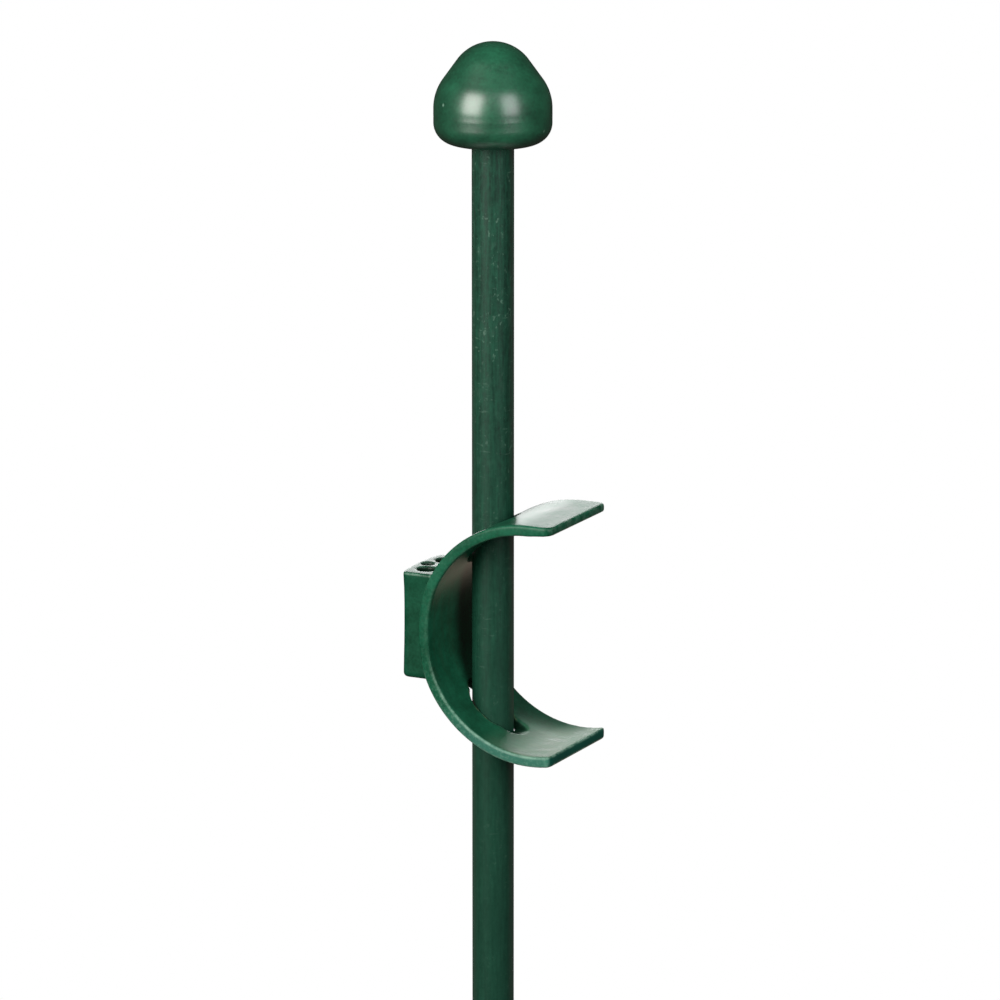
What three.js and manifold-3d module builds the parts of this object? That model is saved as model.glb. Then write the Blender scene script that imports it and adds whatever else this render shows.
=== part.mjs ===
// Garden plant stake: a plastic-coated steel tube with a ball cap, a ground point and a height-adjustable
// C-shaped spring clip. Squeezing the clip's two finger tabs frees it on the stake, and a block on its back
// takes the bent wire ends of a plant ring.
// Millimetres, +Z up. The origin is on the stake's axis at the soil line, and +X is the way the tabs point.

import * as THREE from 'three';
import { mergeVertices } from 'three/addons/utils/BufferGeometryUtils.js';
import Module from 'manifold-3d';

const wasm = await Module();
wasm.setup();

// Stake
const STAKE_DIAMETER = 11;
const HEIGHT_ABOVE_SOIL = 550;
const DEPTH_IN_SOIL = 200;
const COATING = 0.5;
const TUBE_WALL = 0.65;
const SLIP_GAP = 0.05;
const SEAT_GAP = 0.3;
const ROUND_SIDES = 48;

// Ball cap: two circles joined by a straight flank, over a rounded foot
const CAP_DIAMETER = 30.8;
const CAP_CROWN_ABOVE_EQUATOR = 18.7;
const CAP_FOOT_BELOW_EQUATOR = 7.8;
const CAP_CROWN_RADIUS = 11.5;
const CAP_SHOULDER_RADIUS = 12;
const CAP_SHOULDER_RISE = 1.1;
const CAP_FOOT_ROUND = 6.3;
const CAP_FOOT_LIP = 0.6;
const CAP_SOCKET_DEPTH = 14;

// Ground point
const POINT_LENGTH = 28;
const POINT_NOSE_RADIUS = 0.8;
const SPIGOT_LENGTH = 18;
const SPIGOT_CLEARANCE = 0.15;
const SPIGOT_CHAMFER = 1;

// Spring clip
const CLIP_HEIGHT = 395.5;
const BAND_WIDTH = 33.5;
const BAND_THICKNESS = 2.9;
const BAND_EDGE_ROUND = 0.5;
const BACK_TO_AXIS = 14.05;
const UPPER_RADIUS = 31.9;
const LOWER_RADIUS = 32.6;
const TAB_REACH = 25;
const BACK_FLATTENING = 0.5;
const TAB_CORNER_ROUND = 2.2;
const UPPER_TAB_THINNING = 0.7;
const FLEX_GAP = 0.5;

// Slots that the stake runs through: their ends lean away from the tabs by these angles
const SLOT_SIDE_CLEARANCE = 0.3;
const SLOT_BACK_CLEARANCE = 0.5;
const UPPER_FRONT_CLEARANCE = 1.25;
const UPPER_SLOT_LEAN = 36;
const LOWER_FRONT_CLEARANCE = 0.4;
const LOWER_FRONT_LEAN = 10;
const LOWER_BACK_LEAN = 33;
const RELIEF_REACH = 4.6;
const RELIEF_WIDTH = 8.4;
const RELIEF_SLOPE = 13;

// Block for the plant ring's wire ends
const BLOCK_TOP = 14.15;
const BLOCK_BOTTOM = -14.4;
const BLOCK_WIDTH = 22;
const BLOCK_REACH = 22.25;
const BLOCK_FACE_BULGE = 0.9;
const BLOCK_CORNER_ROUND = 1.4;
const BLOCK_BOTTOM_ROUND = 1.2;
const BLOCK_TOP_ROUND = 0.5;
const WIRE_HOLE_DIAMETER = 5;
const WIRE_HOLE_SPACING = 10.6;
const WIRE_HOLE_TO_AXIS = 16.8;
const CENTRE_HOLE_DIAMETER = 3.3;
const CENTRE_HOLE_TO_AXIS = 19.2;

// Sizes worked out from those above
const STAKE_RADIUS = STAKE_DIAMETER / 2;
const TUBE_RADIUS = STAKE_RADIUS - COATING - SLIP_GAP;
const TUBE_BORE_RADIUS = TUBE_RADIUS - TUBE_WALL;
const CAP_RADIUS = CAP_DIAMETER / 2;
const CAP_EQUATOR = HEIGHT_ABOVE_SOIL - CAP_CROWN_ABOVE_EQUATOR;
const CAP_FOOT = CAP_EQUATOR - CAP_FOOT_BELOW_EQUATOR;
const CAP_SOCKET_TOP = CAP_FOOT + CAP_SOCKET_DEPTH;
const STAKE_TOP = CAP_SOCKET_TOP - SEAT_GAP;
const POINT_SHOULDER = POINT_LENGTH - DEPTH_IN_SOIL;
const STAKE_BOTTOM = POINT_SHOULDER + SEAT_GAP;
const SLOT_WIDTH = STAKE_DIAMETER + 2 * SLOT_SIDE_CLEARANCE;
const SLOT_BACK = -STAKE_RADIUS - SLOT_BACK_CLEARANCE;
const SLOT_START = 12;
const ARC_STEPS = 24;
const CUT_MARGIN = 60;

const GREEN_PLASTIC = 0x1d5a41;
const GREEN_COATING = 0x24513f;

function plastic(color, roughness) {
  return new THREE.MeshStandardMaterial({ color, roughness, metalness: 0 });
}

function point(x, y) {
  return new THREE.Vector2(x, y);
}

// Points along a circular arc, from one angle to another, in degrees
function arc(centreX, centreY, radius, from, to, steps = ARC_STEPS) {
  const points = [];
  for (let i = 0; i <= steps; i += 1) {
    const angle = THREE.MathUtils.degToRad(from + ((to - from) * i) / steps);
    points.push(point(centreX + radius * Math.cos(angle), centreY + radius * Math.sin(angle)));
  }
  return points;
}

// A body of revolution about +Z, from radius and height pairs
function turned(profile) {
  return new THREE.LatheGeometry(profile, ROUND_SIDES).rotateX(Math.PI / 2);
}

// An outline in X and Y, extruded from one height to another, with its top and bottom edges rounded
function extrudedUp(outline, low, high, edgeRound = 0) {
  const settings = {
    depth: high - low - 2 * edgeRound,
    bevelEnabled: edgeRound > 0,
    bevelThickness: edgeRound,
    bevelSize: edgeRound,
    bevelOffset: -edgeRound,
    bevelSegments: 3,
  };
  const geometry = new THREE.ExtrudeGeometry(new THREE.Shape(outline), settings);
  return geometry.translate(0, 0, low + edgeRound);
}

// An outline in X and Z, extruded across Y and centred on it, with its edges rounded
function extrudedAcross(outline, width, edgeRound = 0) {
  return extrudedUp(outline, -width / 2, width / 2, edgeRound).rotateX(Math.PI / 2);
}

// A closed geometry as a solid that can be joined and cut
function solid(geometry) {
  const bare = geometry.clone();
  bare.deleteAttribute('normal');
  bare.deleteAttribute('uv');
  const merged = mergeVertices(bare, 1e-4);
  const index = merged.index.array;
  const triangles = [];
  for (let i = 0; i < index.length; i += 3) {
    const [a, b, c] = index.slice(i, i + 3);
    if (a !== b && b !== c && c !== a) triangles.push(a, b, c);
  }
  const vertProperties = new Float32Array(merged.attributes.position.array);
  const triVerts = new Uint32Array(triangles);
  return new wasm.Manifold(new wasm.Mesh({ numProp: 3, vertProperties, triVerts }));
}

function geometryOf(body) {
  const { vertProperties, triVerts } = body.getMesh();
  const geometry = new THREE.BufferGeometry();
  geometry.setAttribute('position', new THREE.BufferAttribute(new Float32Array(vertProperties), 3));
  geometry.setIndex(new THREE.BufferAttribute(new Uint32Array(triVerts), 1));
  geometry.computeVertexNormals();
  return geometry;
}

function named(name, geometry, material) {
  const mesh = new THREE.Mesh(geometry, material);
  mesh.name = name;
  return mesh;
}

// A round pipe between two heights
function pipe(outer, bore, low, high) {
  const profile = [
    point(bore, low),
    point(outer, low),
    point(outer, high),
    point(bore, high),
    point(bore, low),
  ];
  return turned(profile);
}

function steelTube() {
  const material = new THREE.MeshStandardMaterial({ color: 0x8d9094, roughness: 0.4, metalness: 1 });
  return named('steel_tube', pipe(TUBE_RADIUS, TUBE_BORE_RADIUS, STAKE_BOTTOM, STAKE_TOP), material);
}

function plasticSheath() {
  const coating = pipe(STAKE_RADIUS, TUBE_RADIUS + SLIP_GAP, STAKE_BOTTOM, STAKE_TOP);
  return named('plastic_sheath', coating, plastic(GREEN_COATING, 0.5));
}

// The flank is the outer tangent of the shoulder and crown circles, and its normal climbs at this angle
function capFlankAngle(shoulderX, shoulderY, crownY) {
  const across = -shoulderX;
  const rise = crownY - shoulderY;
  const towards = Math.atan2(rise, across);
  const swing = Math.acos((CAP_SHOULDER_RADIUS - CAP_CROWN_RADIUS) / Math.hypot(across, rise));
  return THREE.MathUtils.radToDeg(towards - swing);
}

function ballCap() {
  const socket = STAKE_RADIUS + 2 * SLIP_GAP;
  const shoulderX = CAP_RADIUS - CAP_SHOULDER_RADIUS;
  const shoulderY = CAP_EQUATOR + CAP_SHOULDER_RISE;
  const crownY = HEIGHT_ABOVE_SOIL - CAP_CROWN_RADIUS;
  const footX = CAP_RADIUS - CAP_FOOT_ROUND;
  const footY = CAP_FOOT + CAP_FOOT_ROUND;
  const flank = capFlankAngle(shoulderX, shoulderY, crownY);
  const profile = [
    point(0, CAP_SOCKET_TOP),
    point(socket, CAP_SOCKET_TOP),
    point(socket, CAP_FOOT + CAP_FOOT_LIP),
    point(socket + CAP_FOOT_LIP, CAP_FOOT),
    ...arc(footX, footY, CAP_FOOT_ROUND, -90, 0, 8),
    ...arc(shoulderX, shoulderY, CAP_SHOULDER_RADIUS, 0, flank, 6),
    ...arc(0, crownY, CAP_CROWN_RADIUS, flank, 90, 8),
  ];
  profile[profile.length - 1].x = 0;
  return named('ball_cap', turned(profile), plastic(GREEN_PLASTIC, 0.35));
}

// The moulded point's spigot plugs the tube, and its shoulder carries the tube and the coating
function groundTip() {
  const spigot = TUBE_BORE_RADIUS - SPIGOT_CLEARANCE;
  const spigotTop = POINT_SHOULDER + SPIGOT_LENGTH;
  const profile = [
    ...arc(0, POINT_NOSE_RADIUS - DEPTH_IN_SOIL, POINT_NOSE_RADIUS, -90, -10, 4),
    point(STAKE_RADIUS, POINT_SHOULDER - STAKE_RADIUS / 2),
    point(STAKE_RADIUS, POINT_SHOULDER),
    point(spigot, POINT_SHOULDER),
    point(spigot, spigotTop - SPIGOT_CHAMFER),
    point(spigot - SPIGOT_CHAMFER, spigotTop),
    point(0, spigotTop),
  ];
  profile[0].x = 0;
  return named('ground_tip', turned(profile), plastic(GREEN_PLASTIC, 0.45));
}

// Behind the ring block the band is a little flatter than its two arcs
function flattened(spot) {
  const share = Math.max(0, 1 - (spot.y / BLOCK_TOP) ** 2);
  return point(spot.x + BACK_FLATTENING * share * share, spot.y);
}

// The band's side view, seen along Y: two quarter arcs with a shared back. The upper one runs out into a
// straight tab that thins towards its end, and the lower one stays curved. The inset is the depth below the
// outer face.
function bandCurve(inset) {
  const upperX = UPPER_RADIUS - BACK_TO_AXIS;
  const lowerX = LOWER_RADIUS - BACK_TO_AXIS;
  const upper = UPPER_RADIUS - inset;
  const lower = LOWER_RADIUS - inset;
  const tabRise = (UPPER_TAB_THINNING * inset) / BAND_THICKNESS;
  const lowerEnd = 360 - THREE.MathUtils.radToDeg(Math.acos((TAB_REACH - lowerX) / lower));
  const curve = [
    point(TAB_REACH, upper + tabRise),
    ...arc(upperX, 0, upper, 90, 180),
    ...arc(lowerX, 0, lower, 180, lowerEnd).slice(1),
  ];
  return curve.map(flattened);
}

function bandOutline() {
  return [...bandCurve(0), ...bandCurve(BAND_THICKNESS).reverse()];
}

// The band from above: square at the back, with rounded corners on the finger tabs
function bandPlan() {
  const half = BAND_WIDTH / 2;
  const round = TAB_CORNER_ROUND;
  return [
    point(-CUT_MARGIN, -half),
    ...arc(TAB_REACH - round, round - half, round, -90, 0, 6),
    ...arc(TAB_REACH - round, half - round, round, 0, 90, 6),
    point(-CUT_MARGIN, half),
  ];
}

// Height of an arm's outer or inner face over the clip's centre, at a distance in front of the stake's axis
function faceHeight(radius, inset, x) {
  return Math.sqrt((radius - inset) ** 2 - (x + BACK_TO_AXIS - radius) ** 2);
}

// One end of a slot in the side view: a place on an arm's face, and its run back per millimetre outwards
function slotEnd(x, radius, inset, lean) {
  return { x, height: faceHeight(radius, inset, x), slope: Math.tan(THREE.MathUtils.degToRad(lean)) };
}

function endAt(end, height) {
  return end.x - (height - end.height) * end.slope;
}

// The cutter for a slot with round ends, drawn between an oblong inside the clip and another outside it
function slotCutter(front, back, width, side) {
  const round = width / 2;
  const points = [];
  for (const height of [SLOT_START, CUT_MARGIN]) {
    const backArc = arc(endAt(back, height) + round, 0, round, 90, 270, 16);
    const frontArc = arc(endAt(front, height) - round, 0, round, -90, 90, 16);
    points.push(...[...backArc, ...frontArc].map(({ x, y }) => [x, y, side * height]));
  }
  return wasm.Manifold.hull(points);
}

function upperSlot() {
  const front = slotEnd(STAKE_RADIUS + UPPER_FRONT_CLEARANCE, UPPER_RADIUS, 0, UPPER_SLOT_LEAN);
  const back = slotEnd(SLOT_BACK, UPPER_RADIUS, BAND_THICKNESS, UPPER_SLOT_LEAN);
  return slotCutter(front, back, SLOT_WIDTH, 1);
}

// The sloping relief that carries the lower slot on towards the tab, cut into the arm's inner face
function slotRelief() {
  const front = slotEnd(STAKE_RADIUS + RELIEF_REACH, LOWER_RADIUS, BAND_THICKNESS, 0);
  const back = slotEnd(0, LOWER_RADIUS, BAND_THICKNESS, 0);
  const drop = CUT_MARGIN * Math.tan(THREE.MathUtils.degToRad(RELIEF_SLOPE));
  const overRamp = [
    point(front.x - CUT_MARGIN, -front.height - drop),
    point(front.x + CUT_MARGIN, -front.height + drop),
    point(front.x - CUT_MARGIN, -front.height + drop),
  ];
  return slotCutter(front, back, RELIEF_WIDTH, -1).intersect(solid(extrudedAcross(overRamp, CUT_MARGIN)));
}

function lowerSlot() {
  const front = slotEnd(STAKE_RADIUS + LOWER_FRONT_CLEARANCE, LOWER_RADIUS, 0, LOWER_FRONT_LEAN);
  const back = slotEnd(SLOT_BACK, LOWER_RADIUS, BAND_THICKNESS, LOWER_BACK_LEAN);
  return slotCutter(front, back, SLOT_WIDTH, -1).add(slotRelief());
}

function springBand() {
  const band = solid(extrudedAcross(bandOutline(), BAND_WIDTH, BAND_EDGE_ROUND));
  const trimmed = band.intersect(solid(extrudedUp(bandPlan(), -CUT_MARGIN, CUT_MARGIN)));
  return trimmed.subtract(upperSlot()).subtract(lowerSlot());
}

// The ring block from above: straight sides, rounded corners and a bulging outer face
function blockPlan() {
  const half = BLOCK_WIDTH / 2;
  const round = BLOCK_CORNER_ROUND;
  const faceRadius = (half * half + BLOCK_FACE_BULGE * BLOCK_FACE_BULGE) / (2 * BLOCK_FACE_BULGE);
  const faceSwing = THREE.MathUtils.radToDeg(Math.asin((half - round) / faceRadius));
  const cornerX = BLOCK_FACE_BULGE + round - BLOCK_REACH;
  return [
    point(0, half),
    ...arc(cornerX, half - round, round, 90, 180 - faceSwing, 4),
    ...arc(faceRadius - BLOCK_REACH, 0, faceRadius, 180 - faceSwing, 180 + faceSwing, 10).slice(1, -1),
    ...arc(cornerX, round - half, round, 180 + faceSwing, 270, 4),
    point(0, -half),
  ];
}

function uprightHole(x, y, diameter) {
  return solid(extrudedUp(arc(x, y, diameter / 2, 0, 360, 20).slice(1), -CUT_MARGIN, CUT_MARGIN));
}

// The block is rounded at its bottom and nearly square at its top, and it ends inside the band
function ringBlock() {
  const roundedBelow = solid(extrudedUp(blockPlan(), BLOCK_BOTTOM, CUT_MARGIN, BLOCK_BOTTOM_ROUND));
  const roundedAbove = solid(extrudedUp(blockPlan(), -CUT_MARGIN, BLOCK_TOP, BLOCK_TOP_ROUND));
  const insideOfBand = solid(extrudedAcross(bandCurve(BAND_THICKNESS / 2), CUT_MARGIN));
  return roundedBelow.intersect(roundedAbove).subtract(insideOfBand);
}

// The part of the clip between two heights over its own centre
function sliceOf(body, low, high) {
  const side = CUT_MARGIN;
  const slab = new THREE.BoxGeometry(2 * side, 2 * side, high - low).translate(0, 0, (low + high) / 2);
  return body.intersect(solid(slab));
}

// The clip is one moulding. It is divided where it flexes, above and below the ring block.
function springClip() {
  const clip = new THREE.Group();
  clip.position.z = CLIP_HEIGHT;
  const band = springBand();
  let back = sliceOf(band, BLOCK_BOTTOM, BLOCK_TOP).add(ringBlock());
  for (const side of [-1, 1]) {
    const y = (side * WIRE_HOLE_SPACING) / 2;
    back = back.subtract(uprightHole(-WIRE_HOLE_TO_AXIS, y, WIRE_HOLE_DIAMETER));
  }
  back = back.subtract(uprightHole(-CENTRE_HOLE_TO_AXIS, 0, CENTRE_HOLE_DIAMETER));
  const upper = sliceOf(band, BLOCK_TOP + FLEX_GAP, CUT_MARGIN);
  const lower = sliceOf(band, -CUT_MARGIN, BLOCK_BOTTOM - FLEX_GAP);
  clip.add(named('clip_back', geometryOf(back), plastic(GREEN_PLASTIC, 0.4)));
  clip.add(named('clip_upper_arm', geometryOf(upper), plastic(GREEN_PLASTIC, 0.4)));
  clip.add(named('clip_lower_arm', geometryOf(lower), plastic(GREEN_PLASTIC, 0.4)));
  return clip;
}

const plantStake = new THREE.Group();
plantStake.add(steelTube(), plasticSheath(), ballCap(), groundTip(), springClip());

export default plantStake;
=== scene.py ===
import bpy
import math
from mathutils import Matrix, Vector


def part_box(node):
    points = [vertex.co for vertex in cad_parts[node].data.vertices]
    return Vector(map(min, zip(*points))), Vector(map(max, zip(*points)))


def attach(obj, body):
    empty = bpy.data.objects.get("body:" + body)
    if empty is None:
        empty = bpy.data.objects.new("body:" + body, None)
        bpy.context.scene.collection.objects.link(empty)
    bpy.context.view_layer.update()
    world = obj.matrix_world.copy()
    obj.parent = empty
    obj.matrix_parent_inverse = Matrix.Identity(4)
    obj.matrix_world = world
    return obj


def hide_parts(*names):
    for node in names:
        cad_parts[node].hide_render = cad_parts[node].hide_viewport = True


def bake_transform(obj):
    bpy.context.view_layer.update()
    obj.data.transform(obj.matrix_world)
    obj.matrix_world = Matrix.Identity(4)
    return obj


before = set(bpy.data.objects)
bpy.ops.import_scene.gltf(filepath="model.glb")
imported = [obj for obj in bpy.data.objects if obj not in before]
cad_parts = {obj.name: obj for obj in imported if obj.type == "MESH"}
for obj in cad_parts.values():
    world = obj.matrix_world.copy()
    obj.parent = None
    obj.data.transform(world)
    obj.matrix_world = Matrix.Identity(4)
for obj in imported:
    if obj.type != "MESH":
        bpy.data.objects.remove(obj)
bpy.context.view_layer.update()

# A garden plant stake: coated tube, ball cap, ground point and a spring clip of one moulding.
# Metres, +Z up, with the origin on the stake's axis at the soil line.
# +X is the way the finger tabs point, and +Y runs across the clip's band.
MM = 0.001

# Places this close together count as one, and points this close are merged
SAME_PLACE = 0.01 * MM
MERGE_DISTANCE = 0.002 * MM

# Sizes read from the parts in model.glb
SHEATH_LOW, SHEATH_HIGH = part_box("plastic_sheath")
CAP_LOW, CAP_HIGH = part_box("ball_cap")
POINT_LOW, POINT_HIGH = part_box("ground_tip")
BACK_LOW, BACK_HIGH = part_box("clip_back")
UPPER_LOW, UPPER_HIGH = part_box("clip_upper_arm")
LOWER_LOW, LOWER_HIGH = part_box("clip_lower_arm")
STAKE_RADIUS = SHEATH_HIGH.y

# Ball cap
CAP_RADIUS = CAP_HIGH.y
CAP_CROWN = CAP_HIGH.z
CAP_FOOT = CAP_LOW.z
CAP_EQUATOR = CAP_CROWN - 18.7 * MM
CAP_CROWN_RADIUS = 11.5 * MM
CAP_SHOULDER_RADIUS = 12.8 * MM
CAP_SHOULDER_RISE = 1.4 * MM
CAP_FOOT_ROUND = 5.5 * MM
CAP_SOCKET_RADIUS = STAKE_RADIUS + 0.1 * MM
CAP_SOCKET_TOP = CAP_FOOT + 14 * MM
CAP_LIP = 0.6 * MM
SEAM_HEIGHT = 0.6 * MM
SEAM_DEPTH = 0.02 * MM

# Coating
COATING_THICKNESS = 0.5 * MM
COATING_END_ROUND = 0.15 * MM

# Ground point
POINT_SHOULDER = SHEATH_LOW.z - 0.3 * MM
POINT_SHOULDER_ROUND = 0.4 * MM
POINT_COLLAR = STAKE_RADIUS / 2
COLLAR_EASE_HEIGHT = 0.6 * MM
COLLAR_EASE_DEPTH = 0.12 * MM
POINT_NOSE = 0.8 * MM
SPIGOT_RADIUS = 4.15 * MM
SPIGOT_CHAMFER = 1 * MM

# Spring clip
UPPER_RADIUS = 31.9 * MM
LOWER_RADIUS = 32.6 * MM
BAND_THICKNESS = 2.9 * MM
BAND_HALF_WIDTH = BACK_HIGH.y
BACK_TO_AXIS = 14.05 * MM
TAB_REACH = UPPER_HIGH.x
TAB_CORNER_ROUND = 2.2 * MM
TAB_THINNING = 0.7 * MM
RIM_ROUND = 0.5 * MM
SHARP_EDGE = math.radians(45)
CLIP_CENTRE = UPPER_HIGH.z - UPPER_RADIUS
UPPER_X = UPPER_RADIUS - BACK_TO_AXIS
LOWER_X = LOWER_RADIUS - BACK_TO_AXIS
BLOCK_TOP = BACK_HIGH.z - CLIP_CENTRE
BACK_FLATTENING = 0.5 * MM
SLOT_RADIUS = STAKE_RADIUS + 0.2 * MM
SLOT_START = 12 * MM
SLOT_END = 45 * MM
UPPER_SLOT_FRONT = STAKE_RADIUS + 1.25 * MM
UPPER_SLOT_BACK = -STAKE_RADIUS - 0.55 * MM
UPPER_SLOT_LEAN = math.radians(36)
LOWER_SLOT_FRONT = STAKE_RADIUS + 0.05 * MM
LOWER_SLOT_BACK = -STAKE_RADIUS - 0.25 * MM
LOWER_FRONT_LEAN = math.radians(10)
LOWER_BACK_LEAN = math.radians(20)
NOTCH_RADIUS = 2.6 * MM
NOTCH_BACK = -STAKE_RADIUS - 1.15 * MM
NOTCH_LEAN = math.radians(33)
RELIEF_FRONT = STAKE_RADIUS + 4.6 * MM
RELIEF_RADIUS = 4.2 * MM
RELIEF_SLOPE = math.radians(1.5)
BLOCK_HALF_WIDTH = 11 * MM
BLOCK_BULGE = 0.9 * MM
BLOCK_CORNER_ROUND = 1.4 * MM
BLOCK_BOTTOM_ROUND = 1.2 * MM
BLOCK_TOP_ROUND = 0.4 * MM
BLOCK_WAIST = 0.1 * MM
WAIST_SHARES = (0.15, 0.3, 0.5, 0.7, 0.85)
WIRE_HOLE_RADIUS = 2.5 * MM
WIRE_HOLE_X = -16.8 * MM
WIRE_HOLE_Y = 5.3 * MM
CENTRE_HOLE_RADIUS = 1.65 * MM
CENTRE_HOLE_X = -19.2 * MM
WIRE_HOLES = [
    (WIRE_HOLE_X, -WIRE_HOLE_Y, WIRE_HOLE_RADIUS),
    (WIRE_HOLE_X, WIRE_HOLE_Y, WIRE_HOLE_RADIUS),
    (CENTRE_HOLE_X, 0, CENTRE_HOLE_RADIUS),
]
HOLE_CUT_BELOW = 1 * MM
HOLE_CUT_ABOVE = 9 * MM
SKIN_VOXEL = 0.34 * MM

# Camera, from the photograph's framing in pixels of a 1000 pixel square
VIEW_AZIMUTH = math.radians(26.7)
VIEW_PITCH = math.radians(13.4)
FOCAL_PIXELS = 6500
PIXELS_PER_METRE = 3827
AIM_HEIGHT = 428.9 * MM
AXIS_PIXEL = 493
IMAGE_PIXELS = 1000
SENSOR_WIDTH_MM = 36
CAMERA_REACH = 30

# Floor and lights
FLOOR_RADIUS = 0.42
FLOOR_GAP = 0.5 * MM
FLOOR_FADE_START = 0.35 * FLOOR_RADIUS
FLOOR_FADE_END = 0.95 * FLOOR_RADIUS
LIGHT_DISTANCE = 0.9
WHITE = (1, 1, 1)
WARM_WHITE = (1, 0.97, 0.92)
WARM_TAN = (1, 0.8, 0.62)
WARM_PINK = (1, 0.55, 0.6)


def deselect():
    bpy.ops.object.select_all(action="DESELECT")


def active():
    return bpy.context.view_layer.objects.active


def named(obj, name):
    obj.name = name
    obj.data.name = name
    return obj


def edit_mode():
    bpy.ops.object.mode_set(mode="EDIT")


def object_mode():
    bpy.ops.object.mode_set(mode="OBJECT")


def pick_only(obj):
    deselect()
    obj.select_set(True)
    bpy.context.view_layer.objects.active = obj


def place_applied(obj):
    """Moves an object's place into its mesh."""
    pick_only(obj)
    bpy.ops.object.transform_apply(location=True, rotation=True, scale=True)
    return obj


def modify(obj, kind, **settings):
    """Adds a modifier with these settings and applies it."""
    pick_only(obj)
    bpy.ops.object.modifier_add(type=kind)
    modifier = obj.modifiers[-1]
    for key, value in settings.items():
        setattr(modifier, key, value)
    bpy.ops.object.modifier_apply(modifier=modifier.name)


def combined(obj, other, operation):
    """Joins another piece to this one, or cuts it out, and removes the other."""
    modify(obj, "BOOLEAN", operation=operation, solver="MANIFOLD", object=other)
    bpy.data.objects.remove(other)
    return obj


def select_vertices(obj, wanted):
    """In object mode, selects the vertices that pass a test of their place."""
    mesh = obj.data
    for item in [*mesh.polygons, *mesh.edges]:
        item.select = False
    for vertex in mesh.vertices:
        vertex.select = wanted(vertex.co)


def select_edges(obj, wanted):
    """In object mode, selects the edges that pass a test of their two ends."""
    mesh = obj.data
    for item in [*mesh.polygons, *mesh.vertices]:
        item.select = False
    for edge in mesh.edges:
        first, second = (mesh.vertices[i].co for i in edge.vertices)
        edge.select = wanted(first, second)


def bevel_edges(obj, wanted, width, segments):
    """Rounds the edges that pass a test of their two ends."""
    pick_only(obj)
    edit_mode()
    bpy.ops.mesh.select_mode(type="EDGE")
    object_mode()
    select_edges(obj, wanted)
    edit_mode()
    bpy.ops.mesh.bevel(offset=width, segments=segments, affect="EDGES")
    object_mode()


def softened_rims(obj, width):
    """Rounds every sharp edge."""
    pick_only(obj)
    edit_mode()
    bpy.ops.mesh.select_mode(type="EDGE")
    bpy.ops.mesh.select_all(action="DESELECT")
    bpy.ops.mesh.edges_select_sharp(sharpness=SHARP_EDGE)
    bpy.ops.mesh.bevel(offset=width, segments=3, affect="EDGES")
    object_mode()
    return obj


def arc(centre_x, centre_y, radius, start, end, steps):
    """Points along a circular arc between two angles in degrees, both ends included."""
    points = []
    for step in range(steps + 1):
        angle = math.radians(start + (end - start) * step / steps)
        points.append((centre_x + radius * math.cos(angle), centre_y + radius * math.sin(angle)))
    return points


def drawn_line(name, points):
    """A line of edges drawn point by point, left in edit mode with everything selected."""
    deselect()
    bpy.ops.mesh.primitive_plane_add(size=MM, location=(0, 0, 0))
    obj = named(active(), name)
    edit_mode()
    bpy.ops.mesh.select_mode(type="VERT")
    bpy.ops.mesh.merge(type="CENTER")
    bpy.ops.transform.translate(value=points[0])
    for here, there in zip(points, points[1:]):
        bpy.ops.mesh.extrude_region_move(TRANSFORM_OT_translate={"value": there - here})
    bpy.ops.mesh.select_all(action="SELECT")
    return obj


def turned(name, profile, sides):
    """A body of revolution about the stake's axis: a profile of radii and heights, spun."""
    obj = drawn_line(name, [Vector((radius, 0, height)) for radius, height in profile])
    bpy.ops.mesh.spin(steps=sides, angle=2 * math.pi, center=(0, 0, 0), axis=(0, 0, 1))
    bpy.ops.mesh.select_all(action="SELECT")
    bpy.ops.mesh.remove_doubles(threshold=MERGE_DISTANCE)
    bpy.ops.mesh.normals_make_consistent(inside=False)
    object_mode()
    return smooth(obj)


def extruded(name, outline, shift):
    """A closed outline, filled and drawn out along a line."""
    obj = drawn_line(name, outline)
    bpy.ops.mesh.edge_face_add()
    bpy.ops.mesh.extrude_region_move(TRANSFORM_OT_translate={"value": shift})
    bpy.ops.mesh.select_all(action="SELECT")
    bpy.ops.mesh.normals_make_consistent(inside=False)
    object_mode()
    return obj


def smooth(obj, angle=40):
    """Shades an object smoothly, but for edges sharper than an angle in degrees."""
    pick_only(obj)
    bpy.ops.object.shade_smooth_by_angle(angle=math.radians(angle))
    return obj


def cap_flank_angle(shoulder_x, shoulder_y, crown_y):
    """How far the normal of the cap's straight flank climbs: the flank touches both circles."""
    rise = crown_y - shoulder_y
    towards = math.atan2(rise, -shoulder_x)
    swing = math.acos((CAP_SHOULDER_RADIUS - CAP_CROWN_RADIUS) / math.hypot(shoulder_x, rise))
    return math.degrees(towards - swing)


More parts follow.
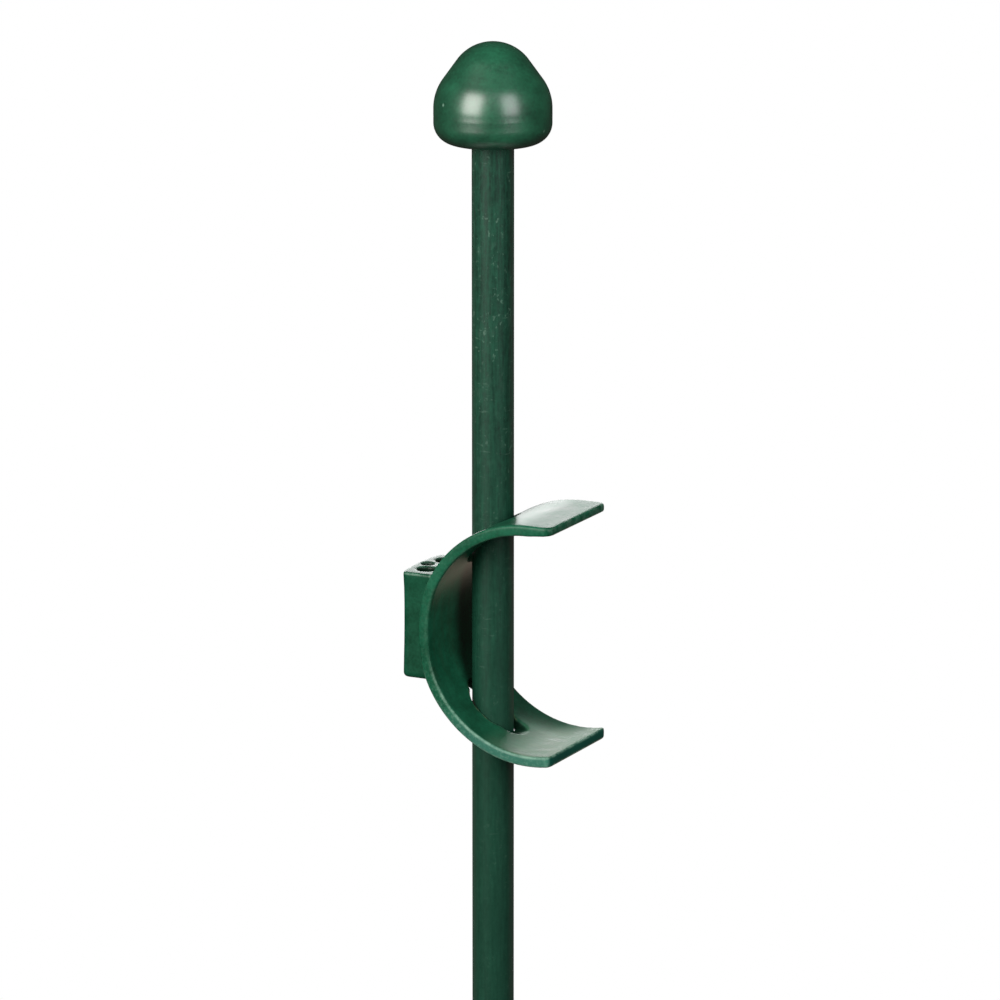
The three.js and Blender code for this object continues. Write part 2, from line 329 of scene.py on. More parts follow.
def ball_cap():
    """The moulded cap, with a fine ridge at its widest where the mould's halves met."""
    shoulder_x = CAP_RADIUS - CAP_SHOULDER_RADIUS
    shoulder_y = CAP_EQUATOR + CAP_SHOULDER_RISE
    crown_y = CAP_CROWN - CAP_CROWN_RADIUS
    foot_x = CAP_RADIUS - CAP_FOOT_ROUND
    foot_y = CAP_FOOT + CAP_FOOT_ROUND
    flank = cap_flank_angle(shoulder_x, shoulder_y, crown_y)
    inset = CAP_RADIUS - SEAM_DEPTH
    profile = [
        (0, CAP_SOCKET_TOP),
        (CAP_SOCKET_RADIUS, CAP_SOCKET_TOP),
        (CAP_SOCKET_RADIUS, CAP_FOOT + CAP_LIP),
        *arc(CAP_SOCKET_RADIUS + CAP_LIP, CAP_FOOT + CAP_LIP, CAP_LIP, 180, 270, 4),
        *arc(foot_x, foot_y, CAP_FOOT_ROUND - SEAM_DEPTH, -90, 0, 24),
        (inset, CAP_EQUATOR - SEAM_HEIGHT / 2),
        (CAP_RADIUS, CAP_EQUATOR),
        (inset, CAP_EQUATOR + SEAM_HEIGHT / 2),
        *arc(shoulder_x - SEAM_DEPTH, shoulder_y, CAP_SHOULDER_RADIUS, 0, flank, 20),
        *arc(0, crown_y, CAP_CROWN_RADIUS, flank, 89, 24),
        (0, CAP_CROWN),
    ]
    return turned("cap_moulding", profile, sides=144)


def stake_coating():
    """The extruded coating: a thin tube with softly rounded cut ends."""
    bore = STAKE_RADIUS - COATING_THICKNESS
    edge = COATING_END_ROUND
    low = SHEATH_LOW.z
    high = SHEATH_HIGH.z
    profile = [
        (bore, low),
        *arc(STAKE_RADIUS - edge, low + edge, edge, -90, 0, 4),
        *arc(STAKE_RADIUS - edge, high - edge, edge, 0, 90, 4),
        (bore, high),
        (bore, low),
    ]
    return turned("coating_tube", profile, sides=128)


def ground_point():
    """The moulded point: a rounded nose, a long taper, a collar and the spigot that plugs the tube."""
    collar = POINT_SHOULDER - POINT_COLLAR
    edge = POINT_SHOULDER_ROUND
    profile = [
        (0, POINT_LOW.z),
        *arc(0, POINT_LOW.z + POINT_NOSE, POINT_NOSE, -78, -10, 8),
        (STAKE_RADIUS - COLLAR_EASE_DEPTH, collar - COLLAR_EASE_HEIGHT),
        (STAKE_RADIUS, collar),
        *arc(STAKE_RADIUS - edge, POINT_SHOULDER - edge, edge, 0, 90, 4),
        (SPIGOT_RADIUS, POINT_SHOULDER),
        (SPIGOT_RADIUS, POINT_HIGH.z - SPIGOT_CHAMFER),
        (SPIGOT_RADIUS - SPIGOT_CHAMFER, POINT_HIGH.z),
        (0, POINT_HIGH.z),
    ]
    return turned("point_moulding", profile, sides=96)


def band_curve(inset):
    """The band's side view, from upper tab to lower tab, at a depth below its outer face."""
    upper = UPPER_RADIUS - inset
    lower = LOWER_RADIUS - inset
    end = 360 - math.degrees(math.acos((TAB_REACH - LOWER_X) / lower))
    curve = [
        (TAB_REACH, upper + TAB_THINNING * inset / BAND_THICKNESS),
        *arc(UPPER_X, 0, upper, 90, 180, 48),
        *arc(LOWER_X, 0, lower, 180, end, 54)[1:],
    ]
    points = []
    for x, z in curve:
        flat = max(0, 1 - (z / BLOCK_TOP) ** 2) ** 2
        points.append(Vector((x + BACK_FLATTENING * flat, -BAND_HALF_WIDTH, CLIP_CENTRE + z)))
    return points


def spring_band():
    """The bent band, with the upright corners of its finger tabs rounded and its rims softened."""
    outline = band_curve(0) + band_curve(BAND_THICKNESS)[::-1]
    obj = extruded("spring_band", outline, (0, 2 * BAND_HALF_WIDTH, 0))

    def upright_at_end(first, second):
        at_end = min(first.x, second.x) > TAB_REACH - SAME_PLACE
        return at_end and abs(first.y - second.y) < SAME_PLACE

    bevel_edges(obj, upright_at_end, TAB_CORNER_ROUND, 8)
    return softened_rims(obj, RIM_ROUND)


def cut_off(obj, point, outwards):
    """Removes what lies beyond a plane and closes the cut."""
    pick_only(obj)
    edit_mode()
    bpy.ops.mesh.select_all(action="SELECT")
    bpy.ops.mesh.bisect(plane_co=point, plane_no=outwards, use_fill=True, clear_outer=True)
    object_mode()
    return obj


def upright_cylinder(x, y, radius, low, high, sides):
    deselect()
    bpy.ops.mesh.primitive_cylinder_add(
        vertices=sides, radius=radius, depth=high - low, location=(x, y, (low + high) / 2))
    return place_applied(active())


def face_height(radius, inset, x):
    """Height of an arm's face over the clip's centre, at a distance in front of the stake's axis."""
    return math.sqrt((radius - inset) ** 2 - (x + BACK_TO_AXIS - radius) ** 2)


def slot_end(x, radius, inset, lean):
    """One end of a slot in the side view: its distance in front of the stake's axis, by height."""
    height = face_height(radius, inset, x)
    return lambda level: x - (level - height) * math.tan(lean)


def slot_cutter(front, back, radius, side):
    """A post of oblong section whose two ends lean with the band, to cut a slot."""
    back_centre = back(SLOT_START) + radius
    plan = arc(back_centre, 0, radius, 90, 270, 32)
    plan += arc(front(SLOT_START) - radius, 0, radius, -90, 90, 32)
    outline = [Vector((x, y, CLIP_CENTRE + side * SLOT_START)) for x, y in plan]
    back_run = back(SLOT_END) - back(SLOT_START)
    front_run = front(SLOT_END) - front(SLOT_START)
    obj = extruded("slot", outline, (back_run, 0, side * (SLOT_END - SLOT_START)))
    far = CLIP_CENTRE + side * SLOT_END
    split = back_centre + back_run + SAME_PLACE
    select_vertices(obj, lambda co: abs(co.z - far) < SAME_PLACE and co.x > split)
    edit_mode()
    bpy.ops.transform.translate(value=(front_run - back_run, 0, 0))
    object_mode()
    return obj


def upper_slot():
    """The oblong slot that the stake passes in the upper arm."""
    front = slot_end(UPPER_SLOT_FRONT, UPPER_RADIUS, 0, UPPER_SLOT_LEAN)
    back = slot_end(UPPER_SLOT_BACK, UPPER_RADIUS, BAND_THICKNESS, UPPER_SLOT_LEAN)
    return slot_cutter(front, back, SLOT_RADIUS, 1)


def slot_relief():
    """The sloping relief that carries the lower slot on towards the tab."""
    front = slot_end(RELIEF_FRONT, LOWER_RADIUS, BAND_THICKNESS, 0)
    back = slot_end(0, LOWER_RADIUS, BAND_THICKNESS, 0)
    relief = slot_cutter(front, back, RELIEF_RADIUS, -1)
    edge = CLIP_CENTRE - face_height(LOWER_RADIUS, BAND_THICKNESS, RELIEF_FRONT)
    downwards = (math.sin(RELIEF_SLOPE), 0, -math.cos(RELIEF_SLOPE))
    return cut_off(relief, (RELIEF_FRONT, 0, edge), downwards)


def slot_notch():
    """The narrower end that carries the lower slot on up the band's back."""
    front = slot_end(NOTCH_RADIUS, LOWER_RADIUS, BAND_THICKNESS, 0)
    back = slot_end(NOTCH_BACK, LOWER_RADIUS, BAND_THICKNESS, NOTCH_LEAN)
    return slot_cutter(front, back, NOTCH_RADIUS, -1)


def lower_slot():
    """The longer slot in the lower arm, with its notch and its relief."""
    front = slot_end(LOWER_SLOT_FRONT, LOWER_RADIUS, 0, LOWER_FRONT_LEAN)
    back = slot_end(LOWER_SLOT_BACK, LOWER_RADIUS, BAND_THICKNESS, LOWER_BACK_LEAN)
    slot = slot_cutter(front, back, SLOT_RADIUS, -1)
    combined(slot, slot_notch(), "UNION")
    return combined(slot, slot_relief(), "UNION")


def block_plan():
    """The ring block from above: straight sides, rounded corners and a bulging outer face."""
    half = BLOCK_HALF_WIDTH
    face = (half ** 2 + BLOCK_BULGE ** 2) / (2 * BLOCK_BULGE)
    swing = math.degrees(math.asin((half - BLOCK_CORNER_ROUND) / face))
    corner_x = BACK_LOW.x + BLOCK_BULGE + BLOCK_CORNER_ROUND
    corner_y = half - BLOCK_CORNER_ROUND
    return [
        (0, half),
        *arc(corner_x, corner_y, BLOCK_CORNER_ROUND, 90, 180 - swing, 6),
        *arc(BACK_LOW.x + face, 0, face, 180 - swing, 180 + swing, 20)[1:-1],
        *arc(corner_x, -corner_y, BLOCK_CORNER_ROUND, 180 + swing, 270, 6),
        (0, -half),
    ]


def ring_block():
    """The block for a plant ring's wire ends, a little waisted between crisp top and round bottom."""
    outline = [Vector((x, y, BACK_LOW.z)) for x, y in block_plan()]
    obj = extruded("ring_block", outline, (0, 0, BACK_HIGH.z - BACK_LOW.z))

    def rim(height):
        return lambda first, second: max(abs(first.z - height), abs(second.z - height)) < SAME_PLACE

    bevel_edges(obj, rim(BACK_LOW.z), BLOCK_BOTTOM_ROUND, 6)
    bevel_edges(obj, rim(BACK_HIGH.z), BLOCK_TOP_ROUND, 3)
    for share in WAIST_SHARES:
        waisted(obj, share)
    return combined(obj, band_filler(), "DIFFERENCE")


def waisted(obj, share):
    """Draws the block in a little at a share of its height, most of all halfway up."""
    height = BACK_LOW.z + share * (BACK_HIGH.z - BACK_LOW.z)
    draw = BLOCK_WAIST * (1 - (2 * share - 1) ** 2)
    pick_only(obj)
    edit_mode()
    bpy.ops.mesh.select_mode(type="VERT")
    bpy.ops.mesh.select_all(action="SELECT")
    bpy.ops.mesh.bisect(plane_co=(0, 0, height), plane_no=(0, 0, 1))
    object_mode()
    select_vertices(obj, lambda co: abs(co.z - height) < SAME_PLACE)
    edit_mode()
    narrowed = (1 + draw / BACK_LOW.x, 1 - draw / BLOCK_HALF_WIDTH, 1)
    bpy.ops.transform.resize(value=narrowed, center_override=(0, 0, height))
    object_mode()


def band_filler():
    """What fills the clip as far as the middle of its band."""
    return extruded("band_filler", band_curve(BAND_THICKNESS / 2), (0, 2 * BAND_HALF_WIDTH, 0))


def spring_clip():
    """The whole clip as one moulding, with the soft edges that a mould leaves."""
    clip = combined(spring_band(), ring_block(), "UNION")
    combined(clip, upper_slot(), "DIFFERENCE")
    combined(clip, lower_slot(), "DIFFERENCE")
    low = BACK_LOW.z - HOLE_CUT_BELOW
    high = BACK_HIGH.z + HOLE_CUT_ABOVE
    for x, y, radius in WIRE_HOLES:
        combined(clip, upright_cylinder(x, y, radius, low, high, sides=64), "DIFFERENCE")
    modify(clip, "REMESH", mode="VOXEL", voxel_size=SKIN_VOXEL)
    modify(clip, "SMOOTH", factor=0.5, iterations=6)
    return named(clip, "clip_moulding")


def clip_part(whole, name, low=None, high=None):
    """A copy of the moulding between two heights."""
    pick_only(whole)
    bpy.ops.object.duplicate()
    part = named(active(), name)
    if high is not None:
        cut_off(part, (0, 0, high), (0, 0, 1))
    if low is not None:
        cut_off(part, (0, 0, low), (0, 0, -1))
    return smooth(part, angle=50)


def divided_clip():
    """The moulding, divided above and below the ring block, where its band bends when squeezed."""
    whole = spring_clip()
    above = (BACK_HIGH.z + UPPER_LOW.z) / 2
    below = (BACK_LOW.z + LOWER_HIGH.z) / 2
    back = clip_part(whole, "clip_back_moulding", below, above)
    upper = clip_part(whole, "clip_upper_moulding", low=above)
    lower = clip_part(whole, "clip_lower_moulding", high=below)
    bpy.data.objects.remove(whole)
    return back, upper, lower


class Wire:
    """A shader socket. Arithmetic on it adds Math nodes."""

    def __init__(self, nodes, socket):
        self.nodes = nodes
        self.socket = socket

    def also(self, output):
        """Another output of the same node."""
        return Wire(self.nodes, self.socket.node.outputs[output])

    def maths(self, operation, *values):
        return self.nodes.node("ShaderNodeMath", {"operation": operation}, dict(enumerate(values)))

    def least(self, other):
        return self.maths("MINIMUM", self, other)

    def most(self, other):
        return self.maths("MAXIMUM", self, other)

    def size(self):
        return self.maths("ABSOLUTE", self)

    def root(self):
        return self.maths("SQRT", self)

    def __add__(self, other):
        return self.maths("ADD", self, other)

    def __radd__(self, other):
        return self.maths("ADD", other, self)

    def __sub__(self, other):
        return self.maths("SUBTRACT", self, other)

    def __rsub__(self, other):
        return self.maths("SUBTRACT", other, self)

    def __mul__(self, other):
        return self.maths("MULTIPLY", self, other)

    def __rmul__(self, other):
        return self.maths("MULTIPLY", other, self)

    def __gt__(self, other):
        return self.maths("GREATER_THAN", self, other)

    def __lt__(self, other):
        return self.maths("LESS_THAN", self, other)


class Nodes:
    """A node tree, built node by node."""

    def __init__(self, tree):
        self.tree = tree

    def node(self, kind, settings=None, inputs=None, output=0):
        """Adds a node: its settings first, then the values or wires of its sockets."""
        added = self.tree.nodes.new(kind)
        for key, value in (settings or {}).items():
            setattr(added, key, value)
        for key, value in (inputs or {}).items():
            self.feed(added.inputs[key], value)
        return None if output is None else Wire(self, added.outputs[output])

    def feed(self, socket, value):
        if isinstance(value, Wire):
            self.tree.links.new(value.socket, socket)
        else:
            socket.default_value = value

    def place(self, scale):
        """Object coordinates, scaled along each axis."""
        coordinates = self.node("ShaderNodeTexCoord", output="Object")
        return self.node("ShaderNodeMapping", {}, {"Vector": coordinates, "Scale": scale})

    def xyz(self):
        """The three object coordinates as values."""
        coordinates = self.node("ShaderNodeTexCoord", output="Object")
        x = self.node("ShaderNodeSeparateXYZ", {}, {"Vector": coordinates}, "X")
        return x, x.also("Y"), x.also("Z")

    def noise(self, scale, detail, roughness=0.5):
        """Grey noise from 0 to 1, with this many bumps to the metre along each axis."""
        inputs = {"Vector": self.place(scale), "Scale": 1, "Detail": detail, "Roughness": roughness}
        return self.node("ShaderNodeTexNoise", {}, inputs, "Fac")

    def ramp(self, wire, low, high):
        """Stretches a range of values to 0 to 1, and clamps it."""
        inputs = {"Value": wire, "From Min": low, "From Max": high}
        return self.node("ShaderNodeMapRange", {"clamp": True}, inputs, "Result")

    def specks(self, scale, size, share):
        """Small marks: where a random cell's centre is near, in a share of the cells."""
        inputs = {"Vector": self.place(scale), "Scale": 1}
        cells = self.node("ShaderNodeTexVoronoi", {}, inputs, "Distance")
        chance = self.node("ShaderNodeSeparateColor", {}, {"Color": cells.also("Color")}, "Red")
        return (1 - self.ramp(cells, size * 0.4, size)) * (chance < share)

    def mix(self, factor, first, second):
        """One colour or another, by a factor."""
        inputs = {"Factor": factor, 6: first, 7: second}
        return self.node("ShaderNodeMix", {"data_type": "RGBA"}, inputs, 2)

    def bump(self, height, distance, strength):
        inputs = {"Height": height, "Distance": distance, "Strength": strength}
        return self.node("ShaderNodeBump", {}, inputs, "Normal")


class Finish(Nodes):
    """A procedural material."""

    def __init__(self, name):
        self.material = bpy.data.materials.new(name)
        self.material.use_nodes = True
        super().__init__(self.material.node_tree)
        self.shader = self.tree.nodes["Principled BSDF"]

    def set(self, **values):
        """Sets the shader's sockets, with underscores for the spaces in their names."""
        for key, value in values.items():
            self.feed(self.shader.inputs[key.replace("_", " ")], value)


def rgb(red, green, blue):
    """A colour of the screen, from 0 to 255, as the shader's linear values."""
    def linear(level):
        share = level / 255
        return share / 12.92 if share <= 0.04045 else ((share + 0.055) / 1.055) ** 2.4
    return (linear(red), linear(green), linear(blue), 1)


# The dark and the light tone of each material
COATING_TONES = (rgb(10, 51, 38), rgb(30, 88, 67))
CAP_TONES = (rgb(12, 56, 38), rgb(26, 82, 58))
POINT_TONES = (rgb(22, 68, 50), rgb(33, 90, 68))
CLIP_TONES = (rgb(16, 76, 52), rgb(31, 108, 79))
STEEL_TONES = ((0.35, 0.36, 0.38, 1), (0.5, 0.51, 0.53, 1))

# What lies over those tones: wear, and painted shade, highlights and reflections
COATING_MARKS = rgb(122, 160, 142)
# Pale green of wear and nicks, also used for painted highlights and reflections on rims
WORN_AND_HIGHLIGHT_GREEN = rgb(150, 194, 172)
# A paler teal towards the bottom of the band's sides
LOWER_SIDE_TEAL = rgb(111, 181, 168)
CHAFED_TAN = rgb(176, 180, 138)
# Pale green of scuffs, also a painted reflection
SCUFF_AND_SHEEN_GREEN = rgb(150, 172, 148)
# Painted shade: a darker green for the block, which the band keeps from the light
BLOCK_SHADE_GREEN = rgb(14, 58, 40)
# Painted shade: a darker teal for the lower tab's end face
TAB_END_SHADE_TEAL = rgb(18, 90, 82)
# Painted reflection: a warm brown sheen
PAINTED_WARM_SHEEN = rgb(58, 53, 41)
# Painted shade: a near-black green for shade in the holes and slot walls, round the stake and on the
# lower arm's far side
PAINTED_SHADE = rgb(14, 26, 18)

# Studio
FLOOR_WHITE = (0.86, 0.86, 0.85, 1)
SURROUNDINGS = (0.036, 0.032, 0.029, 1)
BACKGROUND = (1, 1, 1, 1)


def coating_finish():
    """Extruded coating: faint streaks and cloudy patches, with pale marks on its handled upper part."""
    finish = Finish("extruded green coating")
    _, _, z = finish.xyz()
    handled = finish.ramp(z, LOWER_LOW.z, CAP_FOOT)
    streaks = finish.noise((1700, 1700, 110), 3)
    mottle = finish.noise((900, 900, 560), 4, 0.7)
    clouds = finish.noise((190, 190, 75), 2)
    nicks = finish.ramp(finish.noise((1000, 1000, 800), 2), 0.63, 0.72)
    smudges = finish.ramp(finish.noise((420, 420, 260), 2), 0.58, 0.72)
    scuffs = finish.ramp(finish.noise((260, 260, 1500), 2), 0.67, 0.73)
    worn = finish.ramp(clouds, 0.38, 0.6) * (handled * 0.85 + 0.15)
    marks = (nicks * 0.45 + smudges * 0.12 + scuffs * 0.4) * worn
    grain = (streaks * 0.4 + mottle * 0.4 + clouds * 0.2 - 0.5) * (handled * 0.9 + 0.4) + 0.5
    tone = finish.mix(finish.ramp(grain, 0.36, 0.64), *COATING_TONES)
    finish.set(
        Base_Color=finish.mix(marks, tone, COATING_MARKS),
        Roughness=finish.ramp(mottle * 0.6 + streaks * 0.4, 0.25, 0.75) * 0.2 + 0.42,
        Specular_IOR_Level=0.27,
        Normal=finish.bump(streaks * 0.7 + mottle * 0.5 + marks, 0.03 * MM, 0.6),
    )
    return finish.material


def moulded_finish(name, dark, light, roughness, shine, grain):
    """Moulded plastic: a fine grain, a cloudy tone and a few pale nicks."""
    finish = Finish(name)
    fine = finish.noise((1300, 1300, 1300), 4, 0.6)
    clouds = finish.noise((150, 150, 190), 3)
    nicks = finish.specks((260, 260, 260), 0.14, 0.1)
    tone = finish.mix(finish.ramp(clouds * 0.55 + fine * 0.45, 0.36, 0.64), dark, light)
    colour = finish.mix(nicks * 0.4, tone, WORN_AND_HIGHLIGHT_GREEN)
    rough = finish.ramp(fine * 0.5 + clouds * 0.5, 0.25, 0.75) * 0.12 + roughness
    finish.set(
        Base_Color=colour,
        Roughness=rough,
        Specular_IOR_Level=shine,
        Normal=finish.bump(fine + nicks, grain, 0.5),
    )
    return finish, colour, rough


def band_depth(finish):
    """How deep a place is below the band's outer face, and how high it is over the clip's centre."""
    x, _, z = finish.xyz()
    rise = z - CLIP_CENTRE
    upper_run = (x - UPPER_X).least(0)
    lower_run = x - LOWER_X
    upper = UPPER_RADIUS - (upper_run * upper_run + rise * rise).root()
    lower = LOWER_RADIUS - (lower_run * lower_run + rise * rise).root()
    return upper + (rise < 0) * (lower - upper), rise


def clip_finish():
    """The clip's plastic: pale worn rims, chafed by the stake, scuffs on the lower tab, and painted
    shade, highlights and reflections.
    """
    finish, colour, rough = moulded_finish(
        "moulded clip plastic", *CLIP_TONES, roughness=0.28, shine=0.3, grain=0.02 * MM)
    x, y, _ = finish.xyz()
    depth, rise = band_depth(finish)
    below_top = BLOCK_TOP - rise
    from_stake = (x * x + y * y).root() - STAKE_RADIUS

    # Areas of the clip
    upper = finish.ramp(rise, 12 * MM, 22 * MM)
    lower = finish.ramp(rise, -7 * MM, -17 * MM)
    side = finish.ramp(y.size(), BAND_HALF_WIDTH - 0.7 * MM, BAND_HALF_WIDTH - 0.2 * MM)
    end = finish.ramp(x, TAB_REACH - 0.7 * MM, TAB_REACH - 0.2 * MM)
    outer = finish.ramp(depth, 0.75 * MM, 0.25 * MM)
    inner = finish.ramp(depth, BAND_THICKNESS - 0.75 * MM, BAND_THICKNESS - 0.25 * MM)
    face = outer.most(inner)
    block = finish.ramp(depth, -0.2 * MM, -0.8 * MM)
    block_rim = finish.ramp(below_top, 0.8 * MM, 0.4 * MM) * finish.ramp(below_top, 0.05 * MM, 0.2 * MM)
    # The far side of the lower arm, which gets painted shade and a rougher surface
    far = finish.ramp(y, 5 * MM, 15 * MM) * finish.ramp(x, 22 * MM, 13 * MM)
    # The lower tab's inner face away from its far side: scuffs and a painted reflection
    scuffed_and_sheen = lower * finish.ramp(x, 4 * MM, 15 * MM) * (1 - far)
    # Right round the stake on the upper arm's outer face: painted contact shade, and a rougher worn
    # surface
    rubbed_and_shaded = finish.ramp(from_stake, 2.1 * MM, 1.1 * MM) * outer * upper

    # Patterns of wear, and streaks of a painted warm reflection
    patchy = finish.ramp(finish.noise((420, 420, 420), 3, 0.65), 0.36, 0.6)
    drawn = finish.ramp(finish.noise((160, 420, 420), 4, 0.6), 0.36, 0.66)
    warm_sheen_streaks = finish.ramp(finish.noise((500, 500, 60), 3), 0.45, 0.7)
    flecks = finish.ramp(finish.noise((1700, 1700, 1700), 3, 0.6), 0.5, 0.68)

    # How far each layer covers what lies under it, and its colour
    layers = [
        # Painted shade over the whole block
        (block * 0.3, BLOCK_SHADE_GREEN),
        # Worn rim and a painted reflection along the block's top rim
        (block * block_rim * patchy * 0.45, WORN_AND_HIGHLIGHT_GREEN),
        # Painted reflection: warm brown streaks on the inner faces above the lower arm
        (warm_sheen_streaks * inner * (1 - lower) * 0.25, PAINTED_WARM_SHEEN),
        # Painted shade on the far side of the lower arm's inner face
        (inner * lower * far * 0.35, PAINTED_SHADE),
        # Scuffs and a painted reflection on the lower tab's inner face
        ((drawn * 0.6 + 0.4) * inner * scuffed_and_sheen * 0.42, SCUFF_AND_SHEEN_GREEN),
        # Painted shade and a painted reflection of the dark stake, round the stake on the upper arm's
        # outer face
        (finish.ramp(from_stake, 4 * MM, 1 * MM) * outer * upper * 0.5, PAINTED_SHADE),
        # Painted contact shade right round the stake
        (rubbed_and_shaded * 0.6, PAINTED_SHADE),
        # Painted shade: the lower tab's end face darker teal
        (end * lower * 0.6, TAB_END_SHADE_TEAL),
        # The band's sides paler teal towards the bottom
        (side * finish.ramp(rise, -18 * MM, -28 * MM) * 0.28, LOWER_SIDE_TEAL),
        (side * flecks * (lower * 0.18 + 0.05), WORN_AND_HIGHLIGHT_GREEN),
        (end * (1 - lower) * patchy * 0.2, WORN_AND_HIGHLIGHT_GREEN),
        # Worn rims, and on the lower arm a painted highlight along the rims
        (side.most(end) * face * patchy * (lower * 0.6 + 0.06), WORN_AND_HIGHLIGHT_GREEN),
        (finish.ramp(from_stake, 1.3 * MM, 0.5 * MM) * face * patchy * 0.6, CHAFED_TAN),
        # Painted shade on the slot walls and relief near the stake
        (finish.ramp(from_stake, 6.5 * MM, 4 * MM) * (1 - face) * 0.8, PAINTED_SHADE),
    ]
    # Painted shade inside the wire holes
    for hole_x, hole_y, radius in WIRE_HOLES:
        run = x - hole_x
        across = y - hole_y
        inside = finish.ramp((run * run + across * across).root(), radius + 0.3 * MM, radius + 0.1 * MM)
        layers.append((inside * 0.85, PAINTED_SHADE))
    for share, layer in layers:
        colour = finish.mix(share, colour, layer)
    dull = lower * inner * (drawn * 0.1 + 0.1 + far * 0.4 + finish.ramp(x, 15 * MM, 24 * MM) * 0.12)
    finish.set(Base_Color=colour, Roughness=rough + dull + rubbed_and_shaded * 0.45)
    return finish.material


def steel_finish():
    """Drawn steel tube, brushed along its length."""
    finish = Finish("drawn steel")
    lines = finish.noise((3000, 3000, 20), 3)
    finish.set(
        Base_Color=finish.mix(lines, *STEEL_TONES),
        Metallic=1,
        Roughness=lines * 0.2 + 0.28,
        Normal=finish.bump(lines, 0.01 * MM, 0.4),
    )
    return finish.material


def floor_finish():
    """A pale floor that fades out into the white background at its rim."""
    finish = Finish("pale floor")
    coordinates = finish.node("ShaderNodeTexCoord", output="Object")
    distance = finish.node("ShaderNodeVectorMath", {"operation": "LENGTH"}, {0: coordinates}, "Value")
    fade = finish.ramp(distance, FLOOR_FADE_START, FLOOR_FADE_END)
    finish.set(Base_Color=FLOOR_WHITE, Roughness=0.8, Alpha=1 - fade)
    return finish.material


def cover(obj, material):
    """Gives an object this material alone."""
    obj.data.materials.clear()
    obj.data.materials.append(material)


def camera_axes():
    """Unit vectors to the camera's right, level towards it, and straight back to it."""
    right = Vector((math.cos(VIEW_AZIMUTH), math.sin(VIEW_AZIMUTH), 0))
    level = Vector((math.sin(VIEW_AZIMUTH), -math.cos(VIEW_AZIMUTH), 0))
    back = level * math.cos(VIEW_PITCH) + Vector((0, 0, math.sin(VIEW_PITCH)))
    return right, level, back


def look_at(obj, target):
    obj.rotation_euler = (target - obj.location).to_track_quat("-Z", "Y").to_euler()


def add_camera():
    """The camera at the photograph's viewing angle, a little to one side of the stake's axis."""
    right, _, back = camera_axes()
    sideways = right * ((IMAGE_PIXELS / 2 - AXIS_PIXEL) / PIXELS_PER_METRE)
    aim = Vector((0, 0, AIM_HEIGHT)) + sideways
    bpy.ops.object.camera_add(location=aim + back * (FOCAL_PIXELS / PIXELS_PER_METRE))
    camera = active()
    look_at(camera, aim)
    camera.data.sensor_width = SENSOR_WIDTH_MM
    camera.data.lens = SENSOR_WIDTH_MM * FOCAL_PIXELS / IMAGE_PIXELS
    camera.data.clip_end = CAMERA_REACH
    bpy.context.scene.camera = camera


def add_softbox(name, bearing, climb, size, power, aim, tint=WHITE, only=None,
                distance=LIGHT_DISTANCE, mirrored=True):
    """A soft light at a bearing from the camera and a climb, in degrees, aimed at a height of the stake.

    It lights only the pieces that are given, or everything, and shows in gloss where it is mirrored.
    """
    right, level, _ = camera_axes()
    turn = math.radians(bearing)
    rise = math.radians(climb)
    flat = right * math.sin(turn) + level * math.cos(turn)
    target = Vector((0, 0, aim))
    place = target + (flat * math.cos(rise) + Vector((0, 0, math.sin(rise)))) * distance
    bpy.ops.object.light_add(type="AREA", location=place)
    light = active()
    light.name = name
    light.data.shape = "RECTANGLE"
    light.data.size, light.data.size_y = size
    light.data.energy = power
    light.data.color = tint
    light.visible_camera = False
    light.visible_glossy = mirrored
    look_at(light, target)
    if only:
        keep_to(light, only)


def keep_to(light, pieces):
    """Keeps a light to some of the pieces."""
    lit = bpy.data.collections.new(f"lit by {light.name}")
    for piece in pieces:
        lit.objects.link(piece)
    light.light_linking.receiver_collection = lit


def add_world():
    """Dim surroundings for the light, and a white background for the camera."""
    world = bpy.data.worlds.new("studio")
    bpy.context.scene.world = world
    world.use_nodes = True
    world.node_tree.nodes.clear()
    nodes = Nodes(world.node_tree)
    camera_ray = nodes.node("ShaderNodeLightPath", output="Is Camera Ray")
    seen = camera_ray.most(camera_ray.also("Is Transmission Ray"))
    shown = nodes.mix(seen, SURROUNDINGS, BACKGROUND)
    background = nodes.node("ShaderNodeBackground", {}, {"Color": shown, "Strength": 1})
    nodes.node("ShaderNodeOutputWorld", {}, {"Surface": background}, None)


def add_floor():
    """A round floor just under the ground point."""
    deselect()
    bpy.ops.mesh.primitive_circle_add(
        vertices=96, radius=FLOOR_RADIUS, fill_type="NGON", location=(0, 0, POINT_LOW.z - FLOOR_GAP))
    floor = named(active(), "floor")
    place_applied(floor)
    cover(floor, floor_finish())


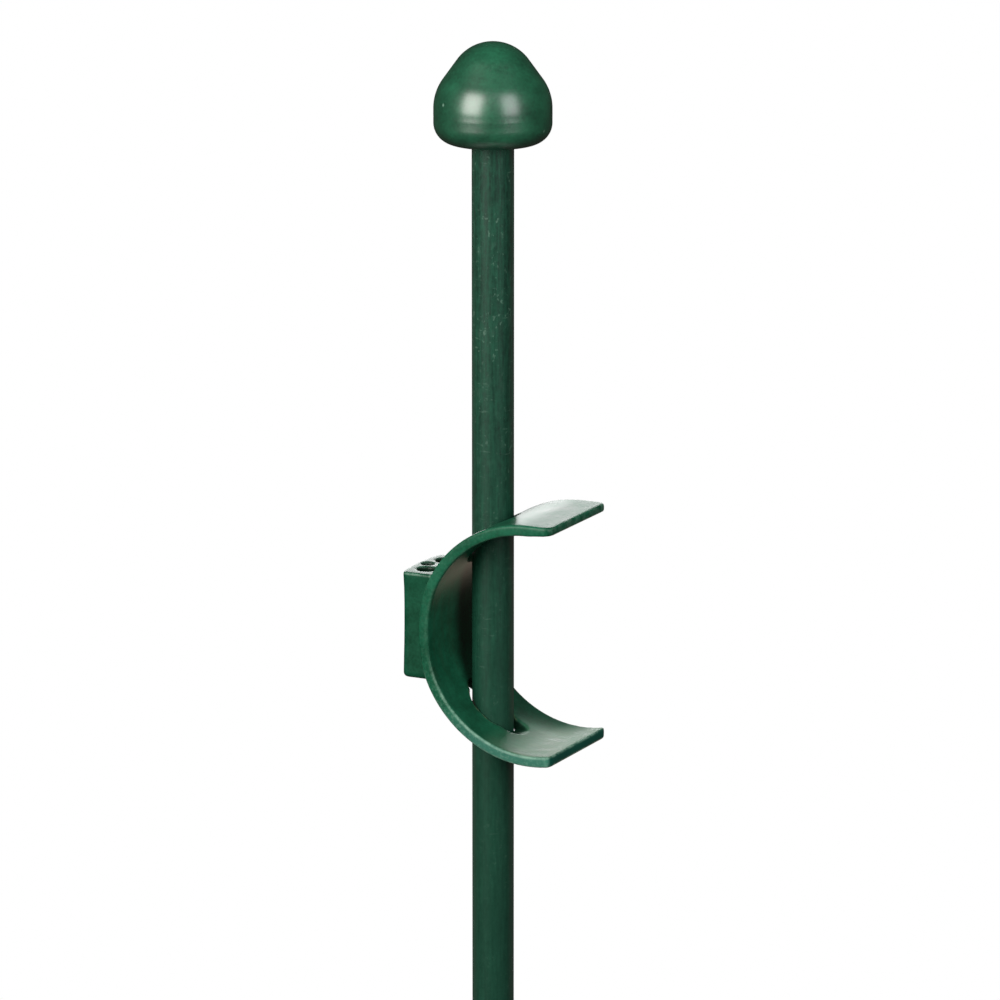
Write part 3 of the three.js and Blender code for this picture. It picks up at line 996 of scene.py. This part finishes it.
def dress_stake():
    """The cap, coating and point in place of their solids, and a finish for the hidden steel tube."""
    cap_plastic, _, _ = moulded_finish(
        "moulded cap plastic", *CAP_TONES, roughness=0.4, shine=0.2, grain=0.01 * MM)
    cap_plastic.set(Coat_Weight=1, Coat_Roughness=0.3, Coat_IOR=1.95)
    point_plastic, _, _ = moulded_finish(
        "moulded point plastic", *POINT_TONES, roughness=0.36, shine=0.3, grain=0.02 * MM)
    pieces = [
        (ball_cap(), "ball_cap", "cap_plastic", cap_plastic.material),
        (stake_coating(), "plastic_sheath", "coating", coating_finish()),
        (ground_point(), "ground_tip", "point_plastic", point_plastic.material),
    ]
    for piece, node, slot, material in pieces:
        cover(piece, material)
        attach(piece, "stake")
        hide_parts(node)
    cover(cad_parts["steel_tube"], steel_finish())
    return [piece for piece, *_ in pieces]


def dress_clip():
    """The clip's moulding in place of its solids, with its back attached to the clip's body."""
    back, upper, lower = divided_clip()
    plastic = clip_finish()
    for piece, node in ((back, "clip_back"), (upper, "clip_upper_arm"), (lower, "clip_lower_arm")):
        cover(piece, plastic)
        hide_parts(node)
    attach(back, "clip")
    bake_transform(upper)
    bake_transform(lower)
    return back, upper, lower


def add_lights(cap, coating, back, upper_arm, lower_arm):
    """Softboxes for everything, and lights that are kept to single pieces."""
    clip = [back, upper_arm, lower_arm]
    add_softbox("key softbox", bearing=-42, climb=18, size=(0.58, 0.76), power=8.2,
                aim=CAP_EQUATOR, tint=WARM_WHITE)
    add_softbox("fill softbox", bearing=35, climb=18, size=(0.46, 0.75), power=3.6,
                aim=CAP_EQUATOR)
    add_softbox("back softbox", bearing=180, climb=6, size=(0.7, 0.9), power=9,
                aim=CLIP_CENTRE, mirrored=False)
    add_softbox("cap overhead", bearing=0, climb=42, size=(0.4, 0.4), power=10,
                aim=CAP_EQUATOR, only=[cap], mirrored=False)
    add_softbox("clip overhead", bearing=0, climb=80, size=(0.9, 0.9), power=1.8,
                aim=CLIP_CENTRE, only=clip, mirrored=False)
    add_softbox("backdrop glow", bearing=180, climb=8.5, size=(0.5, 0.24), power=1.85,
                aim=UPPER_HIGH.z, only=[back, upper_arm])
    add_softbox("low backdrop glow", bearing=180, climb=11, size=(0.5, 0.2), power=3.1,
                aim=LOWER_LOW.z, only=[lower_arm])
    add_softbox("warm bounce", bearing=158, climb=-33, size=(0.4, 0.28), power=0.2,
                aim=CLIP_CENTRE, tint=WARM_TAN, only=clip, distance=0.8)
    for bearing in (-125, 120):
        add_softbox("warm card", bearing=bearing, climb=-13, size=(0.7, 0.8), power=0.6,
                    aim=CAP_EQUATOR, tint=WARM_PINK, only=[coating])


add_camera()
add_world()
add_floor()
cap, coating, _ = dress_stake()
add_lights(cap, coating, *dress_clip())
bpy.context.scene.view_settings.view_transform = "Standard"
